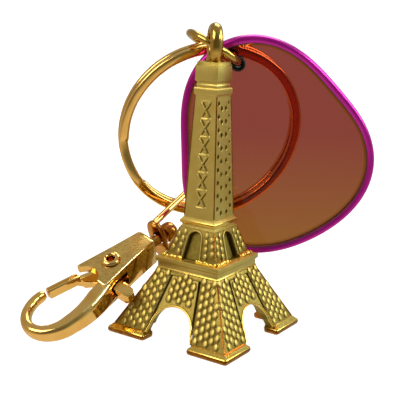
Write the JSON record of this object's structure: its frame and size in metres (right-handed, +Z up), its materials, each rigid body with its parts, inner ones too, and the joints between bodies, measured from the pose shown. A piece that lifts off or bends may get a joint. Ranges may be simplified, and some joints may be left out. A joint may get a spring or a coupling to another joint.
{
  "type": "keychain",
  "caption": "Souvenir keychain: a cast tower charm on a jump ring with a split ring, a swivel snap hook and a tinted lens in a coloured rim.",
  "frame": {"origin": "centre of the bounding box's footprint, on the surface the tower's four feet stand on", "axes": "+X to the lens's side, +Y away from the viewer towards the split ring, +Z up the tower"},
  "size_m": [0.054, 0.0318, 0.0475],
  "materials": {
    "satin_gold": "die casting, satin gold plating",
    "polished_gold": "polished gold plating",
    "rim_lacquer": "magenta lacquer, glossy",
    "tinted_lens": "tinted red to amber, polished both sides",
    "black_rubber": "moulded, matt",
    "spring_steel": "drawn wire, bare"
  },
  "bodies": {
    "tower": {"tower_base": "satin_gold", "arch_panel_front": "satin_gold", "arch_panel_right": "satin_gold", "arch_panel_back": "satin_gold", "arch_panel_left": "satin_gold", "lower_deck": "satin_gold", "middle_stage": "satin_gold", "upper_deck": "satin_gold", "tower_shaft": "satin_gold", "tower_cap": "satin_gold"},
    "jump_ring": {"jump_ring": "polished_gold"},
    "split_ring": {"split_ring": "polished_gold"},
    "swivel_loop": {"swivel_loop": "polished_gold"},
    "snap_hook": {"snap_body": "polished_gold", "swivel_stud": "polished_gold", "hollow_rivet": "polished_gold", "gate_spring": "spring_steel"},
    "gate": {"gate_lever": "polished_gold"},
    "lens": {"tinted_lens": "tinted_lens", "lens_rim": "rim_lacquer", "lens_eyelet": "black_rubber"}
  },
  "joints": [
    {"name": "jump_ring_swing", "type": "hinge", "parent": "tower", "child": "jump_ring", "pos_m": [0.00114, -0.00079, 0.04408], "axis": [0.8671, 0, -0.4981], "range_deg": [0, 60]},
    {"name": "split_ring_swing", "type": "hinge", "parent": "jump_ring", "child": "split_ring", "pos_m": [0.00219, 0.00607, 0.04363], "axis": [0.963, 0.2674, -0.0337], "range_deg": [0, 25]},
    {"name": "swivel_loop_swing", "type": "hinge", "parent": "split_ring", "child": "swivel_loop", "pos_m": [-0.0021, 0.01251, 0.01629], "axis": [-0.9472, -0.2911, 0.1344], "range_deg": [0, 60]},
    {"name": "snap_hook_swivel", "type": "hinge", "parent": "swivel_loop", "child": "snap_hook", "pos_m": [-0.00835, 0.00435, 0.0118], "axis": [-0.6832, -0.5934, -0.4255], "range_deg": [0, 180]},
    {"name": "gate_hinge", "type": "hinge", "parent": "snap_hook", "child": "gate", "pos_m": [-0.01379, 0.00006, 0.00866], "axis": [-0.114, -0.4889, 0.8649], "range_deg": [0, 13], "stiffness_Nm_per_rad": 0.0006, "springref_deg": -20.05},
    {"name": "lens_swing", "type": "hinge", "parent": "jump_ring", "child": "lens", "pos_m": [0.00462, 0.00365, 0.04145], "axis": [0, -0.9925, -0.1219], "range_deg": [0, 60]}
  ]
}
